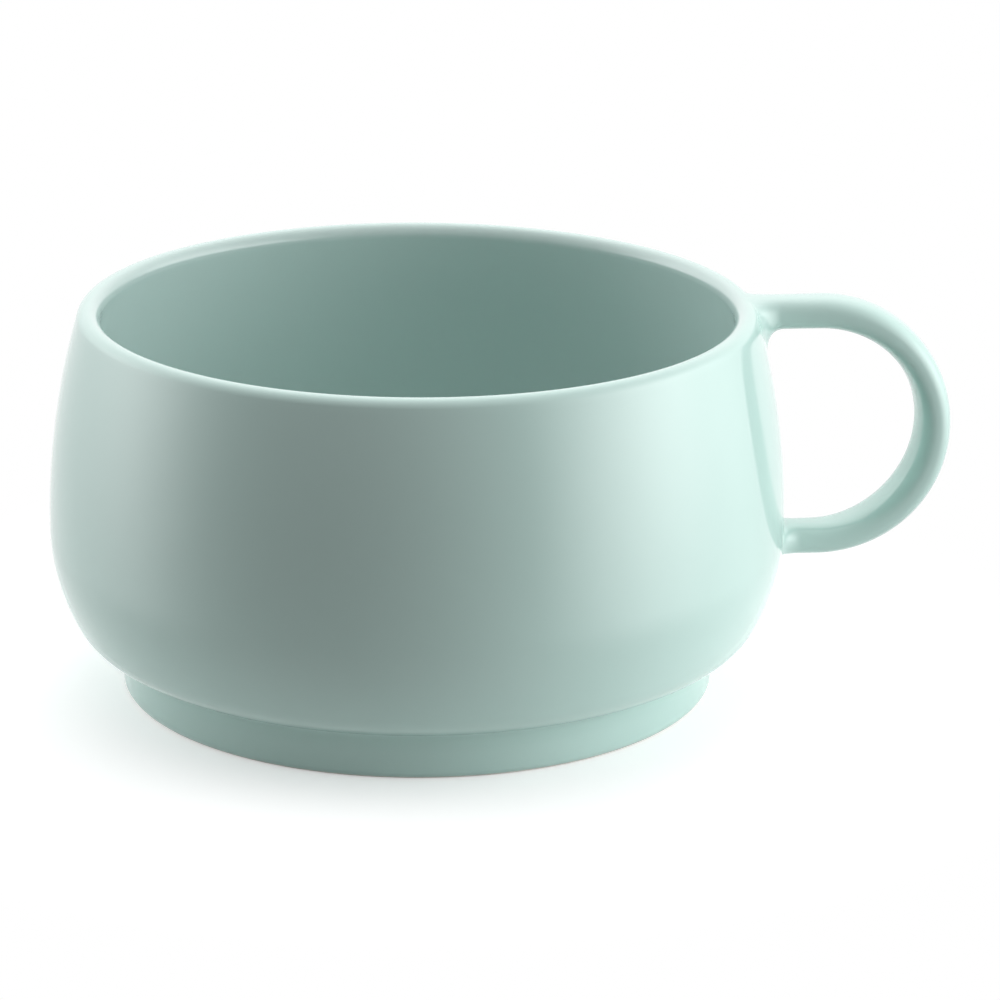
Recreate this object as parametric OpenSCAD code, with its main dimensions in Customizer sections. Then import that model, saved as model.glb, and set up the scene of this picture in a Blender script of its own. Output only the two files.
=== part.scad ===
// Soup mug: a low, wide porcelain cup with a swelling belly, a rounded lip,
// a foot ring and one loop handle that leaves the rim level.
// Upright on the table: the foot rests on z = 0, the axis of the bowl is Z
// and the handle points along +X. All lengths are in millimetres.

/* [Bowl] */
// Widest outside diameter of the bowl
belly_d = 120; // [104:1:140]
// Height of the widest line above the table
belly_h = 27; // [25:0.5:34]
// Height of the lip's crest above the table
mug_h = 63.2; // [56:0.2:90]
// How far the lip's crest lies inside the widest line
rim_inset = 6.9; // [4:0.1:10]
// Thickness of the wall, and of the round lip
wall_t = 3.8; // [3:0.1:4.6]
// Radius of the outside outline just below the widest line
lower_r = 31; // [26:0.5:36]
// Radius of the outside outline where it turns under
turn_r = 9; // [6:0.5:12]
// Thickness of the floor
floor_t = 4.2; // [3:0.1:6]
// Radius between the floor and the wall inside
floor_turn_r = 10; // [6:0.5:11]

/* [Foot ring] */
// How far the foot's outside lies inside the widest line
foot_inset = 11.5; // [10:0.5:16]
// Height of the foot, from the table to the bowl's underside
foot_h = 8; // [5:0.5:10]
// Thickness of the foot ring
foot_t = 4.2; // [3.4:0.1:6]
// Radius of the hollow corner between the foot and the bowl, outside
foot_cove_r = 1.9; // [1:0.1:2.6]
// Radius of the hollow corner between the foot and the bowl, inside
recess_cove_r = 2; // [1:0.1:3]
// Radius of the foot's outer bottom edge
foot_edge_r = 1.2; // [0.6:0.1:1.8]
// Radius of the foot's inner bottom edge
recess_edge_r = 0.8; // [0.4:0.1:1.4]

/* [Handle] */
// How far the loop reaches beyond the widest line
handle_reach = 27.9; // [24:0.1:36]
// Distance between the middles of the two arms
handle_span = 38.6; // [30:0.1:42]
// How far the upper arm's top lies below the lip's crest
handle_sink = 0; // [0:0.1:6]
// Thickness of the strap, seen from the side
strap_t = 5.3; // [4.4:0.1:7]
// Width of the strap where it leaves the bowl
strap_root_w = 7.4; // [6:0.1:10]
// Width of the strap at the outermost point of the loop
strap_bend_w = 11.8; // [7.4:0.1:15]
// Radius of the joint beside each arm
side_flare_r = 3.8; // [2:0.1:5]
// Radius of the joint below the upper arm
under_flare_r = 4.5; // [2:0.1:5.5]
// Radius of the joint above and below the lower arm
lower_flare_r = 1.6; // [1:0.1:3]
// Squareness of the strap's section: 2 is an ellipse
squareness = 2.5; // [2:0.1:3.5]

/* [Hidden] */
$fn = 180;
// Overrun of every cut past the face it opens
cut_over = 1;

// Outline of the bowl: three arcs that meet without a kink, in radius and height.
// The upper arc is the one that carries the lip's centre at half the wall's depth.
belly_r = belly_d / 2;
lip_r = wall_t / 2;
crest_r = belly_r - rim_inset;
lip_at = [crest_r, mug_h - lip_r];
lip_rise = lip_at.y - belly_h;
upper_r = (rim_inset * rim_inset + lip_rise * lip_rise - lip_r * lip_r) / (2 * (rim_inset - lip_r));
upper_at = [belly_r - upper_r, belly_h];
lower_at = [belly_r - lower_r, belly_h];
lip_angle = atan2(lip_at.y - upper_at.y, lip_at.x - upper_at.x);

// Centre of a corner arc that touches a level line and the inside of the arc round lower_at
function corner_at(level, corner_r, arc_r) =
    let (rise = belly_h - level - corner_r, gap = arc_r - corner_r)
    [lower_at.x + sqrt(gap * gap - rise * rise), level + corner_r];
turn_at = corner_at(foot_h, turn_r, lower_r);
floor_h = foot_h + floor_t;
floor_turn_at = corner_at(floor_h, floor_turn_r, lower_r - wall_t);

// Foot ring
foot_r = belly_r - foot_inset;
recess_r = foot_r - foot_t;
cove_reach = turn_r + foot_cove_r;
cove_side = foot_r + foot_cove_r - turn_at.x;
cove_at = [foot_r + foot_cove_r, turn_at.y - sqrt(cove_reach * cove_reach - cove_side * cove_side)];

// Handle: two level arms and a half circle between them, in the plane y = 0
strap_half = strap_t / 2;
upper_arm_z = mug_h - handle_sink - strap_half;
lower_arm_z = upper_arm_z - handle_span;
loop_r = handle_span / 2;
loop_at = [belly_r + handle_reach - strap_half - loop_r, (upper_arm_z + lower_arm_z) / 2];
// Steps across each end, along each flare, each straight arm and the bend
end_steps = 6;
flare_steps = 7;
arm_steps = 3;
bend_steps = 32;
// Points round the strap's section
section_points = 32;

// Part of a disc between two angles
module sector(centre, r, from, to) {
    far = 2 * r;
    middle = (from + to) / 2;
    translate(centre)
        intersection() {
            circle(r = r);
            polygon([
                [0, 0],
                far * [cos(from), sin(from)],
                far * [cos(middle), sin(middle)],
                far * [cos(to), sin(to)]
            ]);
        }
}

// Half outline, filled to the axis, of a bowl with one depth of wall taken off.
// The pieces lap over each other, and their arcs touch where the outline passes
// from one to the next.
module bowl_half(depth, level, corner, corner_r) {
    corner_angle = atan2(corner.y - lower_at.y, corner.x - lower_at.x);
    translate([0, level]) square([corner.x, (belly_h + lip_at.y) / 2 - level]);
    translate(corner) circle(r = corner_r);
    sector(lower_at, lower_r - depth, corner_angle, 45);
    intersection() {
        translate(upper_at) circle(r = upper_r - depth);
        polygon([
            [0, belly_h],
            [belly_r, belly_h],
            [belly_r, lip_at.y + (belly_r - lip_at.x) * tan(lip_angle)],
            [0, lip_at.y - lip_at.x * tan(lip_angle)]
        ]);
    }
}

module bowl_outside_half() {
    bowl_half(0, foot_h, turn_at, turn_r);
    translate(lip_at) circle(r = lip_r);
}

module bowl() {
    color("#b9dbd2")
        rotate_extrude()
            union() {
                difference() {
                    bowl_half(0, foot_h, turn_at, turn_r);
                    bowl_half(wall_t, floor_h, floor_turn_at, floor_turn_r);
                }
                translate(lip_at) circle(r = lip_r);
            }
}

// The foot's section before the bowl is taken out of it
module foot_half() {
    // Ring with its two round bottom edges
    difference() {
        translate([recess_r, 0]) square([foot_t, turn_at.y]);
        edge_cut(foot_r, foot_edge_r);
        edge_cut(recess_r, recess_edge_r, inside = true);
    }
    // Hollow corner outside, tangent to the ring and to the bowl's turn
    difference() {
        polygon([
            [recess_r, cove_at.y],
            cove_at,
            turn_at,
            [recess_r, turn_at.y]
        ]);
        translate(cove_at) circle(r = foot_cove_r);
    }
    // Hollow corner inside, tangent to the ring and to the bowl's flat underside
    difference() {
        translate([recess_r - recess_cove_r, foot_h - recess_cove_r])
            square([recess_cove_r + cut_over, recess_cove_r]);
        translate([recess_r - recess_cove_r, foot_h - recess_cove_r])
            circle(r = recess_cove_r);
    }
}

// What a round edge of radius r takes off a bottom corner at radius at
module edge_cut(at, r, inside = false) {
    translate([at, 0])
        mirror([inside ? 1 : 0, 0])
            difference() {
                translate([-r, -cut_over]) square([r + cut_over, r + cut_over]);
                translate([-r, r]) circle(r = r);
            }
}

module foot_ring() {
    color("#b3d6cd")
        rotate_extrude()
            difference() {
                foot_half();
                bowl_outside_half();
            }
}

// Radius of the bowl's outside at height z
function outside_r(z) =
    z < belly_h ? lower_at.x + sqrt(lower_r * lower_r - pow(z - belly_h, 2)) :
    z < lip_at.y + lip_r * sin(lip_angle) ? upper_at.x + sqrt(upper_r * upper_r - pow(z - belly_h, 2)) :
    lip_at.x + sqrt(max(0, lip_r * lip_r - pow(z - lip_at.y, 2)));

// One unit of the strap's section at angle a: [width share, thickness share]
function section_share(a) = [
    sign(cos(a)) * pow(abs(cos(a)), 2 / squareness),
    sign(sin(a)) * pow(abs(sin(a)), 2 / squareness)
];

// How far a quarter-round flare of radius r stands out at distance d from the wall
function flare(r, d) = d >= r ? 0 : r - sqrt(r * r - pow(r - max(0, d), 2));

// Share of the way from level 0 to level 1, eased at both ends
function ease(share) =
    let (s = min(1, max(0, share)))
    s * s * (3 - 2 * s);

// Half width of the strap at distance x from the bowl's axis
function strap_half_w(x) =
    (strap_root_w + (strap_bend_w - strap_root_w) * ease((x - belly_r) / handle_reach)) / 2;

// Radius of the flare on one face of an arm; side is 1 for the upper arm and -1 for the
// lower arm. The upper arm's top stays level with the lip.
function face_flare_r(side, on_top) =
    side < 0 ? lower_flare_r : on_top ? 0 : under_flare_r;

// How far an arm's flares reach from the wall
function flare_reach(side) = max(side_flare_r, face_flare_r(side, false));

// Ring of points across an arm, at distance d from the wall and at a share of its full
// size. A ring at distance 0 lies on the wall, and the rings close to it take its shape.
function arm_ring(arm_z, side, d, size_share = 1) = [
    for (i = [0 : section_points - 1])
        let (
            share = section_share(side * 360 * i / section_points),
            root_x = outside_r(arm_z),
            tall = strap_half + flare(face_flare_r(side, share.y > 0), d),
            wide = strap_half_w(root_x + d) + flare(side_flare_r, d),
            y = size_share * share.x * wide,
            z = arm_z + size_share * share.y * tall,
            wall_x = sqrt(pow(outside_r(z), 2) - y * y)
        )
        [wall_x + (root_x - wall_x) * ease(d / flare_reach(side)) + d, y, z]
];

// Ring of points across the bend at angle a, from 90 at the upper arm to -90 at the lower
function bend_ring(a) = [
    for (i = [0 : section_points - 1])
        let (
            share = section_share(360 * i / section_points),
            reach = loop_r + share.y * strap_half,
            half_w = strap_half_w(loop_at.x + loop_r * cos(a))
        )
        [loop_at.x + reach * cos(a), share.x * half_w, loop_at.y + reach * sin(a)]
];

// Rings of one arm, from the middle of its end on the wall to the start of the bend
function arm_rings(arm_z, side) =
    let (
        length = loop_at.x - outside_r(arm_z),
        flare_end = flare_reach(side),
        flare_stops = [
            for (i = [0 : flare_steps])
                let (d = flare_end * (1 - cos(90 * i / flare_steps)))
                if (d < length) d
        ],
        arm_stops = [
            for (i = [1 : arm_steps - 1])
                let (d = flare_end + (length - flare_end) * i / arm_steps)
                if (flare_end < length) d
        ]
    )
    concat(
        [for (i = [1 : end_steps - 1]) arm_ring(arm_z, side, 0, i / end_steps)],
        [for (d = concat(flare_stops, arm_stops)) arm_ring(arm_z, side, d)]
    );

// Closed skin through a list of rings that all have as many points
module skin(rings) {
    n = len(rings[0]);
    last = len(rings) - 1;
    polyhedron(
        points = [for (ring = rings) each ring],
        faces = concat(
            [[for (i = [0 : n - 1]) i]],
            [
                for (k = [0 : last - 1], i = [0 : n - 1])
                    let (
                        a = k * n + i,
                        b = k * n + (i + 1) % n
                    )
                    each [[a, b + n, b], [a, a + n, b + n]]
            ],
            [[for (i = [n - 1 : -1 : 0]) last * n + i]]
        )
    );
}

module handle() {
    lower_rings = arm_rings(lower_arm_z, -1);
    color("#bfe0d7")
        skin(concat(
            arm_rings(upper_arm_z, 1),
            [for (i = [0 : bend_steps]) bend_ring(90 - 180 * i / bend_steps)],
            [for (i = [len(lower_rings) - 1 : -1 : 0]) lower_rings[i]]
        ));
}

bowl();
foot_ring();
handle();
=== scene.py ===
"""Soup mug in a pale mint glaze: a low, wide bowl with a round lip, a foot ring and one
loop handle, on a plain pale floor under wide, soft studio light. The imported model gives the
frame. Its three nodes are replaced by smooth meshes of the same form, made here."""

import math
from collections import namedtuple

import bpy
from mathutils import Matrix, Vector


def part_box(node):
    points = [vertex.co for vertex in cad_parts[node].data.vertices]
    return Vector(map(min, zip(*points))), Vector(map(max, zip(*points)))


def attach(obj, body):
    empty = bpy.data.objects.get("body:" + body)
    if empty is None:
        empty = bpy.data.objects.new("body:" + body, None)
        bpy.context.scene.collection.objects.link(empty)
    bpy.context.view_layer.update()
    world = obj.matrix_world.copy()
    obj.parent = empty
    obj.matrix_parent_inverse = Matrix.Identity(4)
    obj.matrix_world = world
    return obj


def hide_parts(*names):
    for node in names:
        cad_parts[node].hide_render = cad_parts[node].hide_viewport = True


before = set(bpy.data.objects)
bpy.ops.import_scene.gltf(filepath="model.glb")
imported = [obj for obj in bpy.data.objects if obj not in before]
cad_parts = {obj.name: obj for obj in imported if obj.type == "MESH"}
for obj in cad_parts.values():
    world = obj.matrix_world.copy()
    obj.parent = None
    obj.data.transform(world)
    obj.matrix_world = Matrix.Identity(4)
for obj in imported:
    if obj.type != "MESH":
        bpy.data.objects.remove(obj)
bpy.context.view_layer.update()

MM = 0.001

# Sizes of the bowl
bowl_low, bowl_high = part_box("bowl")
belly_r = bowl_high.x
mug_h = bowl_high.z
foot_h = bowl_low.z
belly_h = 27 * MM
rim_inset = 6.9 * MM
wall_t = 3.8 * MM
lower_r = 31 * MM
turn_r = 9 * MM
floor_t = 4.2 * MM
floor_turn_r = 10 * MM

# Sizes of the foot ring
foot_inset = 11.5 * MM
foot_t = 4.2 * MM
foot_cove_r = 1.9 * MM
recess_cove_r = 2 * MM
foot_edge_r = 1.2 * MM
recess_edge_r = 0.8 * MM

# Sizes of the handle
handle_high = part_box("handle")[1]
handle_reach = handle_high.x - belly_r
handle_span = 38.6 * MM
strap_t = 5.3 * MM
strap_root_w = 7.4 * MM
strap_bend_w = 11.8 * MM
side_flare_r = 3.8 * MM
under_flare_r = 4.5 * MM
lower_flare_r = 1.6 * MM
squareness = 2.5

# How finely the meshes are made
turn_steps = 320
arc_steps = 36
edge_steps = 10
section_points = 96
flare_steps = 20
arm_steps = 10
bend_steps = 120
end_rings = 4
seat_depth = 0.01 * MM

# Outline of the bowl: arcs that meet without a kink, in radius and height
lip_r = wall_t / 2
lip_at = Vector((belly_r - rim_inset, mug_h - lip_r))
lip_rise = lip_at.y - belly_h
upper_r = (rim_inset**2 + lip_rise**2 - lip_r**2) / (2 * (rim_inset - lip_r))
upper_at = Vector((belly_r - upper_r, belly_h))
lower_at = Vector((belly_r - lower_r, belly_h))
lip_angle = math.degrees(math.atan2(lip_at.y - upper_at.y, lip_at.x - upper_at.x))
floor_h = foot_h + floor_t
foot_r = belly_r - foot_inset
recess_r = foot_r - foot_t


def corner_at(level, corner_r, arc_r):
    """Centre of a corner arc between a level line and the inside of the arc round lower_at."""
    rise = belly_h - level - corner_r
    gap = arc_r - corner_r
    return Vector((lower_at.x + math.sqrt(gap**2 - rise**2), level + corner_r))


turn_at = corner_at(foot_h, turn_r, lower_r)
floor_turn_at = corner_at(floor_h, floor_turn_r, lower_r - wall_t)
cove_reach = turn_r + foot_cove_r
cove_side = foot_r + foot_cove_r - turn_at.x
cove_at = Vector((foot_r + foot_cove_r, turn_at.y - math.sqrt(cove_reach**2 - cove_side**2)))

# Path of the handle: two level arms and a half circle between them
strap_half = strap_t / 2
upper_arm_z = handle_high.z - strap_half
lower_arm_z = upper_arm_z - handle_span
loop_r = handle_span / 2
loop_at = Vector((belly_r + handle_reach - strap_half - loop_r, (upper_arm_z + lower_arm_z) / 2))

# An arm has its height, a side that is 1 where the strap's outer face is on top and -1 where it
# is below, the radii of its flares above and below, and how far from the wall they reach
Arm = namedtuple("Arm", "z side over_r under_r reach")
upper_arm = Arm(upper_arm_z, 1, 0, under_flare_r, max(side_flare_r, under_flare_r))
lower_arm = Arm(lower_arm_z, -1, lower_flare_r, lower_flare_r, max(side_flare_r, lower_flare_r))


# Outlines

def direction(start, end):
    """Angle of the line from one point to another, in degrees."""
    return math.degrees(math.atan2(end.y - start.y, end.x - start.x))


def arc(centre, radius, start, end, steps=arc_steps):
    """Points along a circle from one angle to another, in degrees."""
    angles = [math.radians(start + (end - start) * i / steps) for i in range(steps + 1)]
    return [centre + radius * Vector((math.cos(a), math.sin(a))) for a in angles]


def line(start, end, steps=edge_steps):
    """Points along a straight line, without its two ends."""
    return [start.lerp(end, i / steps) for i in range(1, steps)]


def bowl_outline():
    """From the middle of the underside, up the outside, over the lip and down to the floor."""
    turn_end = direction(lower_at, turn_at)
    floor_turn_end = direction(lower_at, floor_turn_at)
    underside_end = Vector((turn_at.x, foot_h))
    floor_end = Vector((floor_turn_at.x, floor_h))
    under_middle = Vector((0, foot_h))
    floor_middle = Vector((0, floor_h))
    return [
        under_middle,
        *line(under_middle, underside_end),
        *arc(turn_at, turn_r, -90, turn_end),
        *arc(lower_at, lower_r, turn_end, 0)[1:],
        *arc(upper_at, upper_r, 0, lip_angle)[1:],
        *arc(lip_at, lip_r, lip_angle, lip_angle + 180)[1:],
        *arc(upper_at, upper_r - wall_t, lip_angle, 0)[1:],
        *arc(lower_at, lower_r - wall_t, 0, floor_turn_end)[1:],
        *arc(floor_turn_at, floor_turn_r, floor_turn_end, -90)[1:],
        *line(floor_end, floor_middle),
        floor_middle,
    ]


def foot_outline():
    """Once round the foot's section: the outside, the bowl's underside, the recess, the rest face."""
    cove_touch = direction(cove_at, turn_at)
    turn_touch = direction(turn_at, cove_at)
    outer_edge_at = Vector((foot_r - foot_edge_r, foot_edge_r))
    inner_edge_at = Vector((recess_r + recess_edge_r, recess_edge_r))
    inner_cove_at = Vector((recess_r - recess_cove_r, foot_h - recess_cove_r))
    outer_edge = arc(outer_edge_at, foot_edge_r, -90, 0, edge_steps)
    cove = arc(cove_at, foot_cove_r, 180, cove_touch, edge_steps)
    under_bowl = arc(turn_at, turn_r, turn_touch, -90, edge_steps)
    inner_cove = arc(inner_cove_at, recess_cove_r, 90, 0, edge_steps)
    inner_edge = arc(inner_edge_at, recess_edge_r, 180, 270, edge_steps)
    return [
        *outer_edge,
        *line(outer_edge[-1], cove[0]),
        *cove,
        *under_bowl[1:],
        *line(under_bowl[-1], inner_cove[0]),
        *inner_cove,
        *line(inner_cove[-1], inner_edge[0]),
        *inner_edge,
        *line(inner_edge[-1], outer_edge[0]),
    ]


# Meshes

def finished_piece(name, points, faces):
    """A smooth mesh object that rides on the mug and stands for the node of the same name."""
    mesh = bpy.data.meshes.new(name)
    mesh.from_pydata(points, [], faces)
    mesh.validate()
    mesh.shade_smooth()
    piece = bpy.data.objects.new(name + "_glazed", mesh)
    bpy.context.scene.collection.objects.link(piece)
    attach(piece, "root")
    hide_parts(name)
    return piece


def turned(name, outline, closed):
    """Piece turned round the Z axis. An open outline starts and ends on the axis."""
    ring_points = outline if closed else outline[1:-1]
    rings = len(ring_points)
    points = []
    for k in range(turn_steps):
        angle = 2 * math.pi * k / turn_steps
        points += [(p.x * math.cos(angle), p.x * math.sin(angle), p.y) for p in ring_points]
    spans = rings if closed else rings - 1
    faces = []
    for k in range(turn_steps):
        here = k * rings
        there = (k + 1) % turn_steps * rings
        for i in range(spans):
            j = (i + 1) % rings
            faces.append((here + i, there + i, there + j, here + j))
    if not closed:
        first = len(points)
        points += [(0, 0, outline[0].y), (0, 0, outline[-1].y)]
        for k in range(turn_steps):
            here = k * rings
            there = (k + 1) % turn_steps * rings
            faces.append((first, there, here))
            faces.append((here + rings - 1, there + rings - 1, first + 1))
    return finished_piece(name, points, faces)


# The handle

def wall_arc(z):
    """Centre and radius of the arc of the bowl's outside at height z."""
    if z < belly_h:
        return lower_at, lower_r
    if z < lip_at.y + lip_r * math.sin(math.radians(lip_angle)):
        return upper_at, upper_r
    return lip_at, lip_r


def outside_r(z):
    """Radius of the bowl's outside at height z."""
    centre, radius = wall_arc(z)
    return centre.x + math.sqrt(max(0, radius**2 - (z - centre.y) ** 2))


def wall_normal(point):
    """Direction in which the bowl's outside faces at a point on it."""
    centre, radius = wall_arc(point.z)
    across = math.hypot(point.x, point.y)
    share = (across - centre.x) / across
    return Vector((point.x * share, point.y * share, point.z - centre.y)).normalized()


def section_share(angle):
    """The strap's section at an angle, as shares of its half width and half thickness."""
    power = 2 / squareness
    cosine = math.cos(angle)
    sine = math.sin(angle)
    return (
        math.copysign(abs(cosine) ** power, cosine),
        math.copysign(abs(sine) ** power, sine),
    )


def flare(radius, distance):
    """How far a quarter-round flare stands out at a distance from the wall. Radius 0 is no flare."""
    if distance >= radius:
        return 0
    return radius - math.sqrt(radius**2 - (radius - distance) ** 2)


def ease(share):
    """Share of the way from 0 to 1, eased at both ends."""
    share = min(1, max(0, share))
    return share * share * (3 - 2 * share)


def strap_half_w(x):
    """Half width of the strap at a distance from the bowl's axis."""
    share = ease((x - belly_r) / handle_reach)
    return (strap_root_w + (strap_bend_w - strap_root_w) * share) / 2


def arm_ring(arm, distance, size_share=1):
    """Ring across an arm, at a distance from the wall. The first sits a hair inside the wall."""
    ring = []
    seat = 0 if distance > 0 else seat_depth
    root_x = outside_r(arm.z)
    wide = strap_half_w(root_x + distance) + flare(side_flare_r, distance)
    for i in range(section_points):
        share_x, share_y = section_share(arm.side * 2 * math.pi * i / section_points)
        tall = strap_half + flare(arm.over_r if share_y > 0 else arm.under_r, distance)
        y = size_share * share_x * wide
        z = min(mug_h, arm.z + size_share * share_y * tall)
        wall_x = math.sqrt(outside_r(z) ** 2 - y**2)
        x = wall_x + (root_x - wall_x) * ease(distance / arm.reach) + distance
        ring.append(Vector((x - seat, y, z)))
    return ring


def bend_ring(angle):
    """Ring across the bend at an angle, from 90 degrees at the upper arm to -90 at the lower."""
    turn = math.radians(angle)
    half_w = strap_half_w(loop_at.x + loop_r * math.cos(turn))
    ring = []
    for i in range(section_points):
        share_x, share_y = section_share(2 * math.pi * i / section_points)
        reach = loop_r + share_y * strap_half
        x = loop_at.x + reach * math.cos(turn)
        z = loop_at.y + reach * math.sin(turn)
        ring.append(Vector((x, share_x * half_w, z)))
    return ring


def arm_rings(arm):
    """Rings of one arm, from the wall to the start of the bend."""
    length = loop_at.x - outside_r(arm.z)
    flare_angles = [math.pi / 2 * i / flare_steps for i in range(flare_steps + 1)]
    stops = [arm.reach * (1 - math.cos(a)) for a in flare_angles]
    stops += [arm.reach + (length - arm.reach) * i / arm_steps for i in range(1, arm_steps)]
    return [arm_ring(arm, d) for d in stops]


def end_cap_rings(arm):
    """Rings on the wall that close an arm's end, from its middle outwards."""
    return [arm_ring(arm, 0, i / end_rings) for i in range(1, end_rings)]


def make_handle():
    """The strap from the lip round to the belly. Its ends take the wall's normals, so no seam shows."""
    lower_rings = arm_rings(lower_arm)
    upper_cap = end_cap_rings(upper_arm)
    lower_cap = end_cap_rings(lower_arm)
    bend = [bend_ring(90 - 180 * i / bend_steps) for i in range(bend_steps + 1)]
    strap = arm_rings(upper_arm) + bend + lower_rings[::-1]
    rings = upper_cap + strap + lower_cap[::-1]
    n = section_points
    points = [p for ring in rings for p in ring]
    faces = [tuple(range(n - 1, -1, -1))]
    for k in range(len(rings) - 1):
        for i in range(n):
            a = k * n + i
            b = k * n + (i + 1) % n
            faces.append((a, b, b + n, a + n))
    last = (len(rings) - 1) * n
    faces.append(tuple(range(last, last + n)))
    piece = finished_piece("handle", points, faces)
    first_ring = len(upper_cap)
    last_ring = first_ring + len(strap) - 1
    set_end_normals(piece.data, first_ring * n, last_ring * n, n)
    return piece


def set_end_normals(mesh, first, last, n):
    """Gives the two rings on the wall the wall's normals, and the caps behind them their own."""
    ends = set(range(first, first + n)) | set(range(last, last + n))
    normals = [Vector(corner.vector) for corner in mesh.corner_normals]
    for polygon in mesh.polygons:
        on_cap = all(v < first + n or v >= last for v in polygon.vertices)
        for loop in polygon.loop_indices:
            vertex = mesh.loops[loop].vertex_index
            if on_cap:
                normals[loop] = polygon.normal
            elif vertex in ends:
                normals[loop] = wall_normal(mesh.vertices[vertex].co)
    mesh.normals_split_custom_set(normals)


# Nodes

# Where the Mix node keeps its two colours and its result: its sockets share their names
first_color_socket = 6
second_color_socket = 7
mixed_color_socket = 2


def new_material(name):
    """An empty node material and its node tree."""
    material = bpy.data.materials.new(name)
    material.use_nodes = True
    material.node_tree.nodes.clear()
    return material, material.node_tree


def fill(tree, socket, value):
    """Links an output to a socket, or writes a plain value into it."""
    if isinstance(value, bpy.types.NodeSocket):
        tree.links.new(value, socket)
    else:
        socket.default_value = value


def node(tree, kind, *values, **settings):
    """A node with its first inputs, its named inputs and its settings filled in."""
    made = tree.nodes.new(kind)
    for key, value in settings.items():
        if key not in made.inputs:
            setattr(made, key, value)
    for key, value in settings.items():
        if key in made.inputs:
            fill(tree, made.inputs[key], value)
    for socket, value in zip(made.inputs, values):
        fill(tree, socket, value)
    return made


def calculate(tree, operation, *values):
    """Result of one step of arithmetic on numbers and outputs."""
    return node(tree, "ShaderNodeMath", *values, operation=operation).outputs["Value"]


def vector_step(tree, operation, *values):
    """Node for one step of arithmetic on vectors."""
    return node(tree, "ShaderNodeVectorMath", *values, operation=operation)


def rise(tree, value, start, end, low=0.0, high=1.0):
    """Smooth step from low, where the value is at its start, to high at its end."""
    step = node(tree, "ShaderNodeMapRange", value, start, end, low, high, interpolation_type="SMOOTHSTEP")
    return step.outputs["Result"]


def noise(tree, place, waves):
    """Soft noise from 0 to 1 at places on the mug."""
    cloud = node(tree, "ShaderNodeTexNoise", Vector=place, Scale=waves.scale, Detail=waves.detail)
    return cloud.outputs["Fac"]


def wander(tree, place, waves, low, high):
    """Number that wanders between low and high over the mug."""
    return rise(tree, noise(tree, place, waves), noise_low, noise_high, low, high)


def blend(tree, share, first, second):
    """Colour between two colours."""
    mixed = node(tree, "ShaderNodeMix", data_type="RGBA")
    fill(tree, mixed.inputs["Factor"], share)
    fill(tree, mixed.inputs[first_color_socket], first)
    fill(tree, mixed.inputs[second_color_socket], second)
    return mixed.outputs[mixed_color_socket]


# Glaze

mint = (0.485, 0.668, 0.624, 1)
mint_thick = (0.452, 0.640, 0.594, 1)
# Paler mint for the lip: partly glaze that thins there, partly a painted highlight
mint_thin_lip_and_highlight = (0.560, 0.725, 0.685, 1)
# Greyer mint that is painted inside the bowl and the foot as painted shade
mint_painted_inside_shade = (0.525, 0.655, 0.628, 1)
bare_clay = (0.740, 0.710, 0.650, 1)
glaze_ior = 1.5

# Where the colours lie. A face that looks away from the axis has 1, and towards it -1
faces_out = 0.2
faces_in = -0.6
bare_below = 0.2 * MM
glazed_above = 0.6 * MM
thin_lip_and_highlight_from = mug_h - 2.4 * MM
pool_half = 2.2 * MM
most_clouded = 0.35
most_thin_lip_and_highlight = 0.25
most_pooled = 0.6

# Unevenness: about how many waves to a metre, with how much finer detail on them
Waves = namedtuple("Waves", "scale detail")
cloud_waves = Waves(38.0, 4.0)
gloss_waves = Waves(90.0, 2.0)
glaze_waves = Waves(110.0, 1.0)
grain_waves = Waves(900.0, 3.0)
peel_waves = Waves(1200.0, 2.0)
noise_low = 0.3
noise_high = 0.7

# How rough the two surfaces are, and how high the waves and the peel on them
glaze_smoothest = 0.05
glaze_roughest = 0.09
clay_smoothest = 0.5
clay_roughest = 0.65
wave_height = 0.02
peel_height = 0.0005


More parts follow.
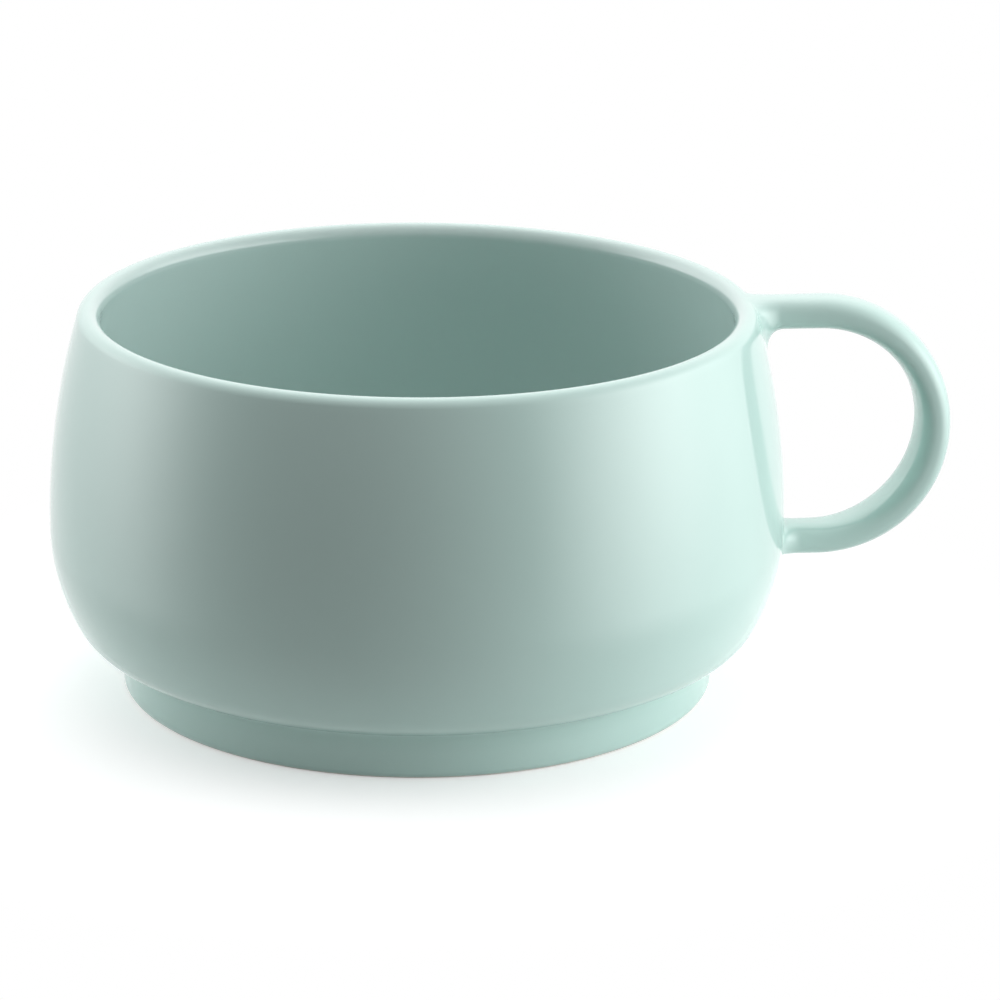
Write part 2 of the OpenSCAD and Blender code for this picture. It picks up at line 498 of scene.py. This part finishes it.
def glaze_material():
    """Glossy mint glaze. It clouds a little, thins and turns paler on the lip, where the paler colour is
    partly a painted highlight, is thicker in the foot's hollow corners, is painted greyer inside the
    bowl and the foot as painted shade, and leaves the face that the mug rests on as bare, matt clay."""
    material, tree = new_material("mint_glaze")
    spot = node(tree, "ShaderNodeTexCoord")
    place = spot.outputs["Object"]
    height = node(tree, "ShaderNodeSeparateXYZ", place).outputs["Z"]
    across = vector_step(tree, "MULTIPLY", place, (1, 1, 0)).outputs["Vector"]
    outwards = vector_step(tree, "NORMALIZE", across).outputs["Vector"]
    facing = vector_step(tree, "DOT_PRODUCT", outwards, spot.outputs["Normal"]).outputs["Value"]
    # Mask for the painted shade inside the bowl and the foot: faces that look towards the axis
    inwards = rise(tree, facing, faces_out, faces_in)
    off_axis = vector_step(tree, "LENGTH", across).outputs["Value"]
    inside = calculate(tree, "MULTIPLY", inwards, rise(tree, off_axis, belly_r, belly_r - wall_t))

    clouds = wander(tree, place, cloud_waves, 0.0, most_clouded)
    # Paler lip near the top: glaze that thins there plus a painted highlight
    thin_lip_and_highlight = calculate(tree, "MULTIPLY", rise(tree, height, thin_lip_and_highlight_from, mug_h), most_thin_lip_and_highlight)
    from_corner = calculate(tree, "ABSOLUTE", calculate(tree, "SUBTRACT", height, cove_at.y))
    pooled = rise(tree, from_corner, pool_half, 0.0, 0.0, most_pooled)
    glazed = rise(tree, height, bare_below, glazed_above)

    color = blend(tree, clouds, mint, mint_thick)
    # Painted shade: the inside of the bowl and the foot takes the greyer mint
    color = blend(tree, inside, color, mint_painted_inside_shade)
    color = blend(tree, pooled, color, mint_thick)
    # The lip takes the paler mint, which is partly a painted highlight
    color = blend(tree, thin_lip_and_highlight, color, mint_thin_lip_and_highlight)
    color = blend(tree, glazed, bare_clay, color)

    gloss = wander(tree, place, gloss_waves, glaze_smoothest, glaze_roughest)
    grain = wander(tree, place, grain_waves, clay_smoothest, clay_roughest)
    glaze_part = calculate(tree, "MULTIPLY", gloss, glazed)
    clay_part = calculate(tree, "MULTIPLY", grain, calculate(tree, "SUBTRACT", 1.0, glazed))
    rough = calculate(tree, "ADD", glaze_part, clay_part)

    waves = calculate(tree, "MULTIPLY", noise(tree, place, glaze_waves), wave_height)
    peel = calculate(tree, "MULTIPLY", noise(tree, place, peel_waves), peel_height)
    bump = node(tree, "ShaderNodeBump", Height=calculate(tree, "ADD", waves, peel), Distance=MM)
    shader = node(
        tree,
        "ShaderNodeBsdfPrincipled",
        IOR=glaze_ior,
        Roughness=rough,
        Normal=bump.outputs["Normal"],
    )
    fill(tree, shader.inputs["Base Color"], color)
    node(tree, "ShaderNodeOutputMaterial", Surface=shader.outputs["BSDF"])
    return material


# Stage

white = (1, 1, 1, 1)

# The floor is plain as far as floor_plain from the axis, and gone at floor_end. Its glow shows
# to the camera and in reflections, and gives no other light
floor_plain = 62 * MM
floor_end = 115 * MM
floor_color = (0.80, 0.80, 0.80, 1)
floor_glow = 0.4


def seen_share(tree):
    """1 for what the camera, reflections and glass see, and 0 for what lights the mug."""
    path = node(tree, "ShaderNodeLightPath")
    seen = calculate(tree, "MAXIMUM", path.outputs["Is Camera Ray"], path.outputs["Is Glossy Ray"])
    return calculate(tree, "MAXIMUM", seen, path.outputs["Is Transmission Ray"])


def make_floor():
    """Plain pale floor that keeps the mug's soft shadow and fades into the backdrop all round."""
    mesh = bpy.data.meshes.new("floor")
    corners = [
        (-floor_end, -floor_end, 0),
        (floor_end, -floor_end, 0),
        (floor_end, floor_end, 0),
        (-floor_end, floor_end, 0),
    ]
    mesh.from_pydata(corners, [], [(0, 1, 2, 3)])
    floor = bpy.data.objects.new("floor", mesh)
    bpy.context.scene.collection.objects.link(floor)
    material, tree = new_material("pale_floor")
    lit = node(tree, "ShaderNodeBsdfDiffuse", Color=floor_color)
    glow_seen = calculate(tree, "MULTIPLY", seen_share(tree), floor_glow)
    glow = node(tree, "ShaderNodeEmission", Strength=glow_seen)
    both = node(tree, "ShaderNodeAddShader", lit.outputs["BSDF"], glow.outputs["Emission"])
    place = node(tree, "ShaderNodeTexCoord").outputs["Object"]
    from_middle = vector_step(tree, "LENGTH", place).outputs["Value"]
    gone = rise(tree, from_middle, floor_plain, floor_end)
    clear = node(tree, "ShaderNodeBsdfTransparent").outputs["BSDF"]
    faded = node(tree, "ShaderNodeMixShader", gone, both.outputs["Shader"], clear)
    node(tree, "ShaderNodeOutputMaterial", Surface=faded.outputs["Shader"])
    mesh.materials.append(material)


def compass(azimuth, elevation):
    """Direction away from the mug. Azimuth 0 is the camera's side, and 90 is to its right."""
    turn = math.radians(azimuth)
    lift = math.radians(elevation)
    return Vector((math.sin(turn) * math.cos(lift), -math.cos(turn) * math.cos(lift), math.sin(lift)))


# A patch of the sky has its middle's angles, how fast it fades round it, and its strength there
SkyPart = namedtuple("SkyPart", "azimuth elevation sharpness level")
right = SkyPart(90, 17, 12, 2.7)
left = SkyPart(-100, 2, 12, 2.2)
far_left = SkyPart(-120, 22, 12, 2.2)
behind = SkyPart(180, 50, 6, 1.8)
overhead = SkyPart(0, 90, 4, 0.8)


def sky_glow(tree, towards, part):
    """Strength of a wide patch of light that fades out all round."""
    middle = compass(part.azimuth, part.elevation)
    facing = vector_step(tree, "DOT_PRODUCT", towards, middle).outputs["Value"]
    away = calculate(tree, "MULTIPLY", calculate(tree, "SUBTRACT", facing, 1.0), part.sharpness)
    return calculate(tree, "MULTIPLY", calculate(tree, "EXPONENT", away), part.level)


def make_world():
    """Wide soft patches of light. The camera, reflections and glass see plain white as well."""
    world = bpy.data.worlds.new("studio")
    bpy.context.scene.world = world
    world.use_nodes = True
    tree = world.node_tree
    tree.nodes.clear()
    towards = node(tree, "ShaderNodeTexCoord").outputs["Generated"]
    light = sky_glow(tree, towards, right)
    for part in (left, far_left, behind, overhead):
        light = calculate(tree, "ADD", light, sky_glow(tree, towards, part))
    camera_ray = node(tree, "ShaderNodeLightPath").outputs["Is Camera Ray"]
    unseen = calculate(tree, "MULTIPLY", light, calculate(tree, "SUBTRACT", 1.0, camera_ray))
    strength = calculate(tree, "ADD", unseen, seen_share(tree))
    background = node(tree, "ShaderNodeBackground", Color=white, Strength=strength)
    node(tree, "ShaderNodeOutputWorld", Surface=background.outputs["Background"])


# A softbox has its angles seen from the mug, and its strength
Softbox = namedtuple("Softbox", "name azimuth elevation level")
softboxes = (
    Softbox("near_low", 60, 0, 2.6),
    Softbox("near_high", 60, 22, 1.2),
    Softbox("near_side", 90, 0, 1.0),
)
softbox_off = 360 * MM
softbox_side = 520 * MM
face_middle = 0.5


def make_softbox(box):
    """Square lamp on the right that faces the mug. Its face fades out towards all four edges."""
    lamp = bpy.data.lights.new(box.name, "AREA")
    lamp.shape = "SQUARE"
    lamp.size = softbox_side
    lamp.energy = box.level * math.pi * softbox_side**2
    lamp.use_nodes = True
    tree = lamp.node_tree
    tree.nodes.clear()
    across = node(tree, "ShaderNodeNewGeometry").outputs["Parametric"]
    sides = node(tree, "ShaderNodeSeparateXYZ", across)
    fades = []
    for side in ("X", "Y"):
        from_edge = calculate(tree, "PINGPONG", sides.outputs[side], face_middle)
        fades.append(rise(tree, from_edge, 0.0, face_middle))
    glow = node(tree, "ShaderNodeEmission", Strength=calculate(tree, "MULTIPLY", *fades))
    node(tree, "ShaderNodeOutputLight", Surface=glow.outputs["Emission"])
    away = compass(box.azimuth, box.elevation)
    made = bpy.data.objects.new(box.name, lamp)
    made.location = Vector((0, 0, mug_h / 2)) + away * softbox_off
    made.rotation_mode = "QUATERNION"
    made.rotation_quaternion = (-away).to_track_quat("-Z", "Y")
    made.visible_camera = False
    bpy.context.scene.collection.objects.link(made)


# Camera at the photograph's place: how far off, how high and how it is turned
camera_lens_mm = 152.45
camera_sensor_mm = 36
camera_off = 659.7 * MM
camera_up = 244.0 * MM
camera_round = math.radians(-5.31)
camera_heading = math.radians(6.481)
camera_pitch = math.radians(17.973)
camera_roll = math.radians(0.452)


def make_camera():
    """Camera that sees the mug as the photograph does."""
    data = bpy.data.cameras.new("camera")
    data.lens = camera_lens_mm
    data.sensor_width = camera_sensor_mm
    camera = bpy.data.objects.new("camera", data)
    place = Vector((camera_off * math.sin(camera_round), -camera_off * math.cos(camera_round), camera_up))
    turn = (
        Matrix.Rotation(-camera_heading, 4, "Z")
        @ Matrix.Rotation(math.pi / 2 - camera_pitch, 4, "X")
        @ Matrix.Rotation(camera_roll, 4, "Z")
    )
    camera.matrix_world = Matrix.Translation(place) @ turn
    bpy.context.scene.collection.objects.link(camera)
    bpy.context.scene.camera = camera


# Making

glaze = glaze_material()
for piece in (
    turned("bowl", bowl_outline(), closed=False),
    turned("foot_ring", foot_outline(), closed=True),
    make_handle(),
):
    piece.data.materials.append(glaze)

make_floor()
make_world()
for box in softboxes:
    make_softbox(box)
make_camera()
bpy.context.scene.view_settings.view_transform = "Standard"
